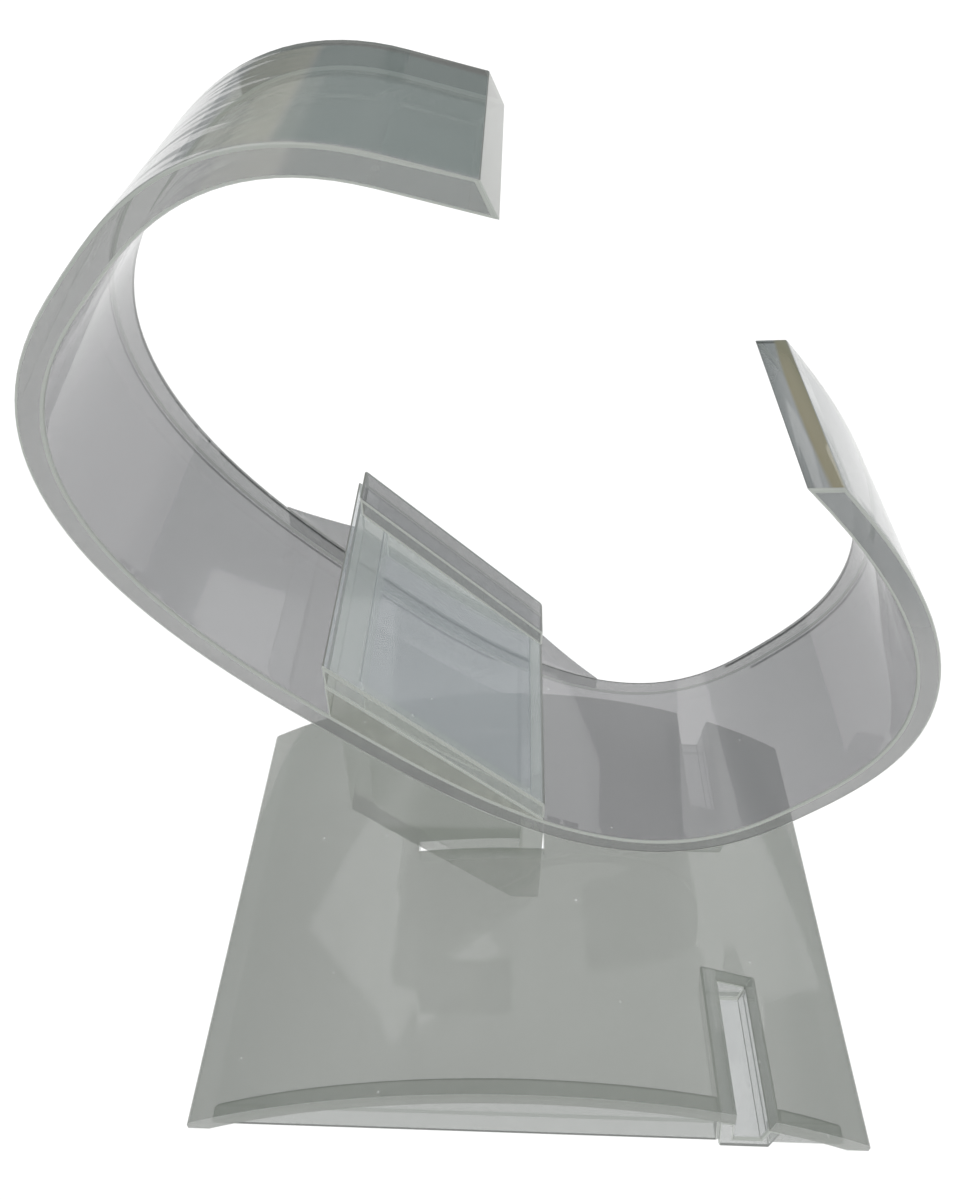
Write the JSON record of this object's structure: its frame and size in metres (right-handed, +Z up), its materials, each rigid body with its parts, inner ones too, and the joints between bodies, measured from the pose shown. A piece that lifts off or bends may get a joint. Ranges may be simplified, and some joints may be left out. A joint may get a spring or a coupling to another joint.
{
  "type": "wristwatch display stand",
  "caption": "Clear C-shaped ring unit with a sloping saddle, lifted out of a low arched base, for showing a watch or bracelet.",
  "frame": {"origin": "middle of the whole stand's box, at the floor", "axes": "+Z up, +X to the right towards the troughs, -Y to the front; the ring's axis lies along Y"},
  "size_m": [0.0656, 0.0468, 0.0723],
  "materials": {
    "clear_base": "clear, glossy, faintly grey-green",
    "clear_ring": "clear, glossy, faintly grey"
  },
  "bodies": {
    "base": {"arched_roof": "clear_base", "front_panel": "clear_base", "front_panel_corner": "clear_base", "front_trough": "clear_base", "rear_trough": "clear_base"},
    "ring_unit": {"c_band": "clear_ring", "saddle_plate": "clear_ring", "saddle_frame": "clear_ring", "stop_bar": "clear_ring", "post": "clear_ring", "rear_tab": "clear_ring"}
  },
  "joints": [
    {"name": "ring_lift", "type": "slide", "parent": "base", "child": "ring_unit", "axis": [0, 0, 1], "range_m": [0, 0.03]}
  ]
}
